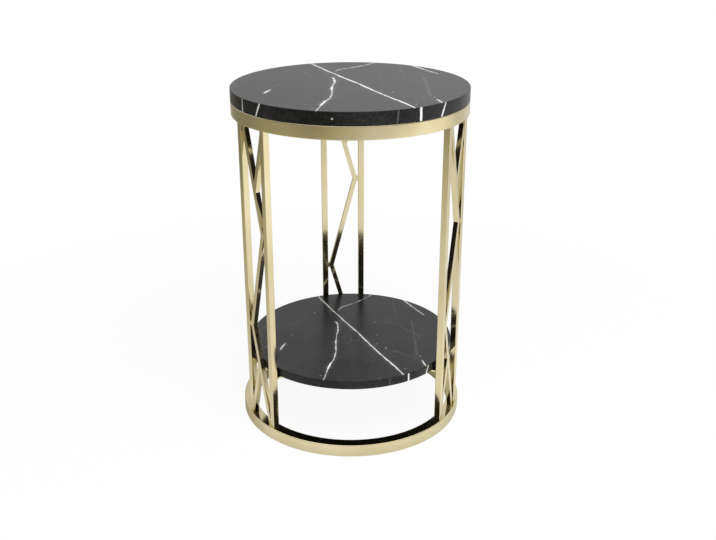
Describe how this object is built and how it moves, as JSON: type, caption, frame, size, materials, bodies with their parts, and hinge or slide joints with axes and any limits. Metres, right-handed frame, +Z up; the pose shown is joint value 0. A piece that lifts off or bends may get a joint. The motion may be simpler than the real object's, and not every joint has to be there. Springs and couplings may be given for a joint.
{
  "type": "nightstand",
  "caption": "Round open nightstand: a black marble top and low shelf in a cage of gold tube rings, paired legs and zigzag bars.",
  "frame": {"origin": "on the floor, under the middle of the table", "axes": "+Z up, -Y towards the open front between two panels, +X to the right of someone in front"},
  "size_m": [0.4, 0.4, 0.6],
  "materials": {
    "black_marble": "polished black marble with white veins",
    "champagne_gold": "polished champagne gold plating on welded steel tube",
    "zinc_steel": "zinc plated screws",
    "insert_brass": "turned brass",
    "glide_plastic": "natural moulded polyethylene"
  },
  "bodies": {
    "root": {"base_ring": "champagne_gold", "foot_glides": "glide_plastic", "left_bottom_brace": "champagne_gold", "left_leg_front": "champagne_gold", "left_leg_rear": "champagne_gold", "left_lower_bar": "champagne_gold", "left_middle_bar": "champagne_gold", "left_shelf_lug_front": "champagne_gold", "left_shelf_lug_rear": "champagne_gold", "left_studs": "champagne_gold", "left_top_brace": "champagne_gold", "left_top_lug": "champagne_gold", "left_upper_bar": "champagne_gold", "rear_bottom_brace": "champagne_gold", "rear_leg_left": "champagne_gold", "rear_leg_right": "champagne_gold", "rear_lower_bar": "champagne_gold", "rear_middle_bar": "champagne_gold", "rear_shelf_lug_left": "champagne_gold", "rear_shelf_lug_right": "champagne_gold", "rear_studs": "champagne_gold", "rear_top_brace": "champagne_gold", "rear_top_lug": "champagne_gold", "rear_upper_bar": "champagne_gold", "right_bottom_brace": "champagne_gold", "right_leg_front": "champagne_gold", "right_leg_rear": "champagne_gold", "right_lower_bar": "champagne_gold", "right_middle_bar": "champagne_gold", "right_shelf_lug_front": "champagne_gold", "right_shelf_lug_rear": "champagne_gold", "right_studs": "champagne_gold", "right_top_brace": "champagne_gold", "right_top_lug": "champagne_gold", "right_upper_bar": "champagne_gold", "shelf_board": "black_marble", "shelf_inserts": "insert_brass", "shelf_screws": "zinc_steel", "top_board": "black_marble", "top_inserts": "insert_brass", "top_ring": "champagne_gold", "top_screws": "zinc_steel"}
  },
  "joints": []
}
